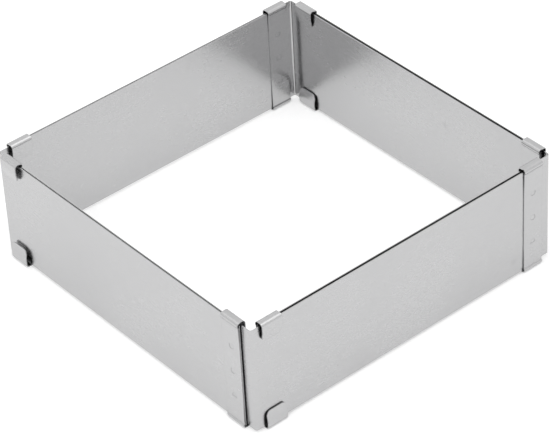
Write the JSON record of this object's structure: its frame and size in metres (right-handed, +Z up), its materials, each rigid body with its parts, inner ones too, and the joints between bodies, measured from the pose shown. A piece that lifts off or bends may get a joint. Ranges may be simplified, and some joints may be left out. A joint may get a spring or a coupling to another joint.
{
  "type": "adjustable cake frame",
  "caption": "Square adjustable cake frame of thin stainless steel: bent corner sheets slide along each other in welded, hooked clips, so the width and the depth are set apart.",
  "frame": {"origin": "centre of the pushed-together frame, on the surface that the lower ends of its clips rest on", "axes": "+X along the front wall from its left corner to its right one, +Y from the front wall to the back one, +Z up"},
  "size_m": [0.163, 0.1635, 0.0525],
  "materials": {
    "steel": "fine brushed, satin"
  },
  "bodies": {
    "front_left_unit": {"front_left_corner_sheet": "steel", "front_left_outer_clip": "steel", "front_left_inner_clip": "steel"},
    "front_right_unit": {"front_right_corner_sheet": "steel", "front_right_outer_clip": "steel", "front_right_inner_clip": "steel"},
    "back_right_unit": {"back_right_corner_sheet": "steel", "back_right_outer_clip": "steel", "back_right_inner_clip": "steel"},
    "back_left_unit": {"back_left_corner_sheet": "steel", "back_left_outer_clip": "steel", "back_left_inner_clip": "steel"}
  },
  "joints": [
    {"name": "front_right_slide", "type": "slide", "parent": "front_left_unit", "child": "front_right_unit", "axis": [1, 0, 0], "range_m": [0, 0.1278]},
    {"name": "back_left_slide", "type": "slide", "parent": "front_left_unit", "child": "back_left_unit", "axis": [0, 1, 0], "range_m": [0, 0.1278]},
    {"name": "back_right_slide", "type": "slide", "parent": "front_right_unit", "child": "back_right_unit", "axis": [0, 1, 0], "range_m": [0, 0.1278]}
  ],
  "couplings": [
    {"joint": "back_right_slide", "follows": "back_left_slide", "ratio": 1}
  ]
}
